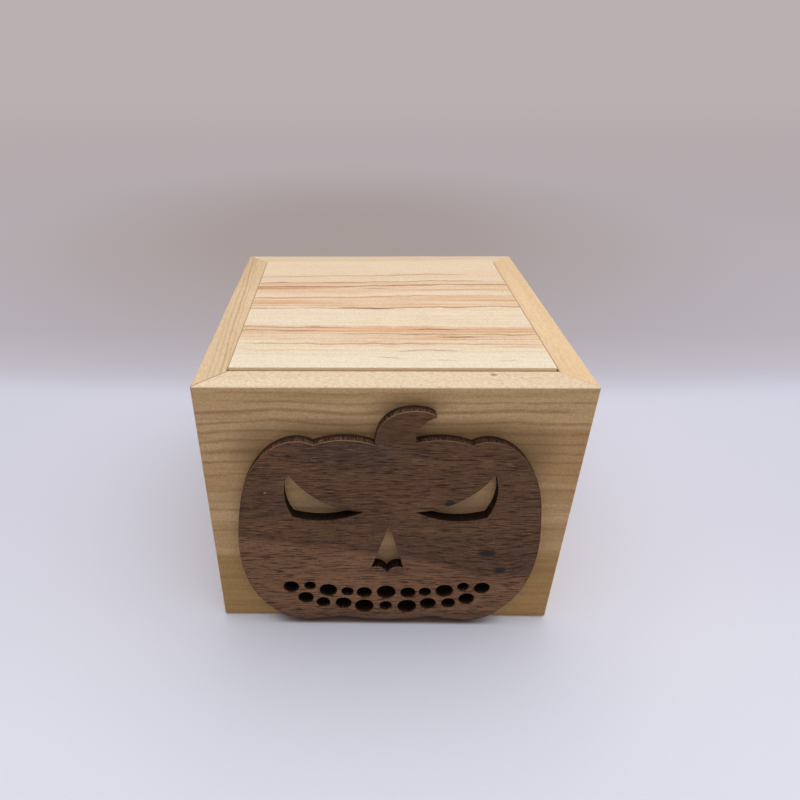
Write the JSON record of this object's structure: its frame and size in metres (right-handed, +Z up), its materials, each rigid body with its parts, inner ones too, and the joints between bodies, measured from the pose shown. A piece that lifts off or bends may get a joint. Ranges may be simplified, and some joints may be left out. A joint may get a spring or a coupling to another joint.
{
  "type": "jack in the box",
  "caption": "Wooden jack in the box: mitred box with a cut-out pumpkin on its front, a hinged lid, a side crank with a music movement, and a spring jack.",
  "frame": {"origin": "centre of the box's base, on the surface that it stands on", "axes": "+Z up, -Y to the front with the pumpkin, +X to the side with the crank"},
  "size_m": [0.1902, 0.1635, 0.1338],
  "materials": {
    "wall_poplar": "oiled, satin, mitred corners, fine straight grain",
    "lid_poplar": "oiled, satin, pale with salmon and brown streaks",
    "walnut": "matte, dark with short pores and scorched cut edges",
    "plywood": "bare, sanded",
    "beech": "bare, turned and sanded",
    "knob_walnut": "waxed, turned",
    "brass": "machined, satin",
    "steel": "bright zinc",
    "sleeve_cloth": "gathered cotton in pleats",
    "collar_cloth": "pleated felt",
    "orange_paint": "turned wood under satin paint",
    "stem_paint": "turned wood under matte paint"
  },
  "bodies": {
    "box": {"front_wall": "wall_poplar", "back_wall": "wall_poplar", "left_wall": "wall_poplar", "right_wall": "wall_poplar", "bottom_panel": "plywood", "bottom_screws": "steel", "lid_ledge": "beech", "hinge_pins": "brass", "pumpkin_face": "walnut", "crank_bush": "brass", "movement_frame": "brass", "movement_screws": "steel", "comb": "steel", "comb_screws": "steel", "latch_pivot": "steel", "latch_spring": "steel", "spring_base": "beech", "base_screws": "steel", "base_clips": "steel", "jack_spring": "steel", "jack_sleeve": "sleeve_cloth"},
    "lid": {"lid_panel": "lid_poplar", "lid_catch": "steel", "catch_screws": "steel"},
    "crank": {"crank_shaft": "steel", "crank_pinion": "brass", "crank_arm": "steel", "crank_screw": "steel", "knob_spindle": "steel"},
    "knob": {"crank_knob": "knob_walnut"},
    "drum": {"drum_cylinder": "brass", "drum_gear": "brass", "drum_arbor": "steel", "trip_cam": "brass"},
    "latch": {"latch_lever": "steel"},
    "jack": {"spring_cap": "beech", "cap_clips": "steel", "neck_dowel": "beech", "jack_collar": "collar_cloth", "jack_head": "orange_paint", "head_stem": "stem_paint"}
  },
  "joints": [
    {"name": "lid_hinge", "type": "hinge", "parent": "box", "child": "lid", "pos_m": [0, 0.05368, 0.12905], "axis": [-1, 0, 0], "range_deg": [0, 140]},
    {"name": "jack_rise", "type": "slide", "parent": "box", "child": "jack", "axis": [0, 0, 1], "range_m": [0, 0.1225], "deforming": ["jack_spring", "jack_sleeve"]},
    {"name": "crank_spin", "type": "hinge", "parent": "box", "child": "crank", "pos_m": [0.081, 0.024, 0.062], "axis": [1, 0, 0], "continuous": true},
    {"name": "drum_spin", "type": "hinge", "parent": "box", "child": "drum", "pos_m": [0.045, 0, 0.062], "axis": [1, 0, 0], "continuous": true},
    {"name": "knob_spin", "type": "hinge", "parent": "crank", "child": "knob", "pos_m": [0.0998, 0.024, 0.032], "axis": [1, 0, 0], "continuous": true},
    {"name": "latch_swing", "type": "hinge", "parent": "box", "child": "latch", "pos_m": [0.0273, -0.0125, 0.08], "axis": [1, 0, 0], "range_deg": [0, 5.5], "deforming": ["latch_spring"]}
  ],
  "couplings": [
    {"joint": "jack_rise", "follows": "lid_hinge", "m_per_rad": 0.05},
    {"joint": "drum_spin", "follows": "crank_spin", "ratio": -0.33333}
  ]
}
